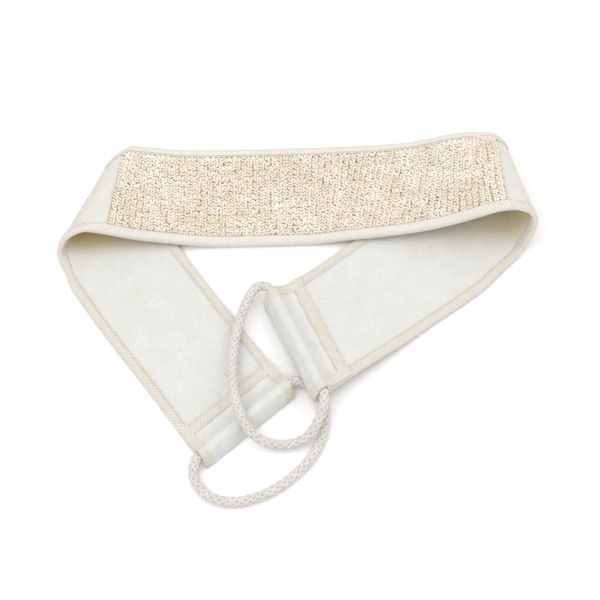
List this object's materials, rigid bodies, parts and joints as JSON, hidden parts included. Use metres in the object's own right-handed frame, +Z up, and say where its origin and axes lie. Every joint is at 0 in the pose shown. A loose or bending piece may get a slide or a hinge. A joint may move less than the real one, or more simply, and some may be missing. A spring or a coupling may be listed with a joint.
{
  "type": "loofah back scrubber",
  "caption": "Long cloth back scrubber belt with a knitted loofah panel, a terry back and a braided rope handle loop at each end, lying folded.",
  "frame": {"origin": "middle of the cloth's footprint, on the floor it lies on", "axes": "+X along the belt's middle to the right, +Y to the rear, +Z up"},
  "size_m": [0.3771, 0.3174, 0.0492],
  "materials": {
    "loofah_knit": "coarse knitted natural fibre",
    "cotton_terry": "looped cotton pile",
    "cotton_cloth": "plain woven cotton",
    "twill_tape": "cotton twill tape",
    "cotton_rope": "braided cotton",
    "thread": "cotton thread"
  },
  "bodies": {
    "left_arm": {"left_arm_cloth": "cotton_cloth", "left_arm_inner_binding": "twill_tape", "left_arm_outer_binding": "twill_tape", "left_arm_terry": "cotton_terry", "left_cross_tape": "twill_tape", "left_fold_cloth": "cotton_cloth", "left_fold_inner_binding": "twill_tape", "left_fold_outer_binding": "twill_tape", "left_fold_terry": "cotton_terry", "left_hem_side_tapes": "twill_tape", "left_hem_stitching": "thread", "left_hem_tunnel": "cotton_terry"},
    "middle": {"loofah_panel": "loofah_knit", "middle_cloth": "cotton_cloth", "middle_inner_binding": "twill_tape", "middle_outer_binding": "twill_tape", "middle_terry": "cotton_terry", "panel_stitching": "thread"},
    "right_arm": {"right_arm_cloth": "cotton_cloth", "right_arm_inner_binding": "twill_tape", "right_arm_outer_binding": "twill_tape", "right_arm_terry": "cotton_terry", "right_cross_tape": "twill_tape", "right_fold_cloth": "cotton_cloth", "right_fold_inner_binding": "twill_tape", "right_fold_outer_binding": "twill_tape", "right_fold_terry": "cotton_terry", "right_hem_side_tapes": "twill_tape", "right_hem_stitching": "thread", "right_hem_tunnel": "cotton_terry"},
    "left_handle": {"left_rope": "cotton_rope", "left_rope_ends": "cotton_rope", "left_rope_sleeve": "twill_tape"},
    "right_handle": {"right_rope": "cotton_rope", "right_rope_ends": "cotton_rope", "right_rope_sleeve": "twill_tape"}
  },
  "joints": [
    {"name": "left_fold", "type": "hinge", "parent": "left_arm", "child": "middle", "pos_m": [-0.16035, 0.0775, 0.0128], "axis": [-0.2995, -0.9507, 0.0805], "range_deg": [0, 60], "deforming": ["left_fold_cloth", "left_fold_inner_binding", "left_fold_outer_binding", "left_fold_terry"]},
    {"name": "right_fold", "type": "hinge", "parent": "middle", "child": "right_arm", "pos_m": [0.16035, 0.0881, 0.0177], "axis": [0.0622, -0.9866, 0.1508], "range_deg": [0, 30], "deforming": ["right_fold_cloth", "right_fold_inner_binding", "right_fold_outer_binding", "right_fold_terry"]},
    {"name": "left_handle_swing", "type": "hinge", "parent": "left_arm", "child": "left_handle", "pos_m": [-0.04291, -0.10887, 0.00895], "axis": [-0.7405, -0.6721, 0], "range_deg": [0, 90]},
    {"name": "right_handle_swing", "type": "hinge", "parent": "right_arm", "child": "right_handle", "pos_m": [-0.00437, -0.04717, 0.01729], "axis": [-0.3978, 0.913, -0.0908], "range_deg": [0, 110]}
  ],
  "couplings": [
    {"joint": "right_fold", "follows": "left_fold", "ratio": 0.5},
    {"joint": "left_handle_swing", "follows": "left_fold", "ratio": 1.5}
  ]
}
